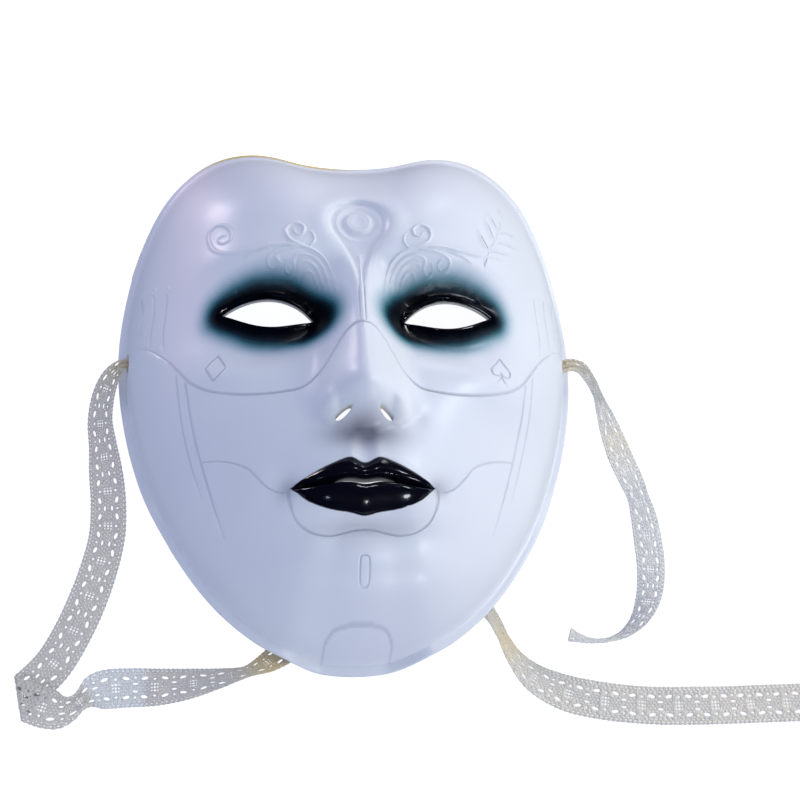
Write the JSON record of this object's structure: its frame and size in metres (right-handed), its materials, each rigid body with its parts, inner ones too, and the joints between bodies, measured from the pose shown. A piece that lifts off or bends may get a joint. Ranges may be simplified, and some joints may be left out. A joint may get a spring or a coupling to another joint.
{
  "type": "venetian masquerade mask",
  "caption": "Full-face moulded mask with open back, almond eye openings, raised scrollwork and a lace ribbon tie at each temple, lying face up.",
  "frame": {"origin": "centre of the mask's footprint, on the surface that it lies on; the free ribbon ties are left out of the footprint", "axes": "+Z out of the face, up from the surface; +Y from the chin towards the forehead; +X to the right of someone looking at the face"},
  "size_m": [0.3532, 0.2344, 0.0883],
  "materials": {
    "white_lacquer": "satin-gloss white lacquer over a moulded shell, airbrushed black and petrol round the eyes, gloss black lips",
    "gilt": "thin gilt cord",
    "cream_lace": "cream cotton lace ribbon"
  },
  "bodies": {
    "root": {"mask_shell": "white_lacquer", "gilt_edging": "gilt", "left_lace_tie": "cream_lace", "right_lace_tie": "cream_lace", "left_knot": "cream_lace", "right_knot": "cream_lace"}
  },
  "joints": []
}
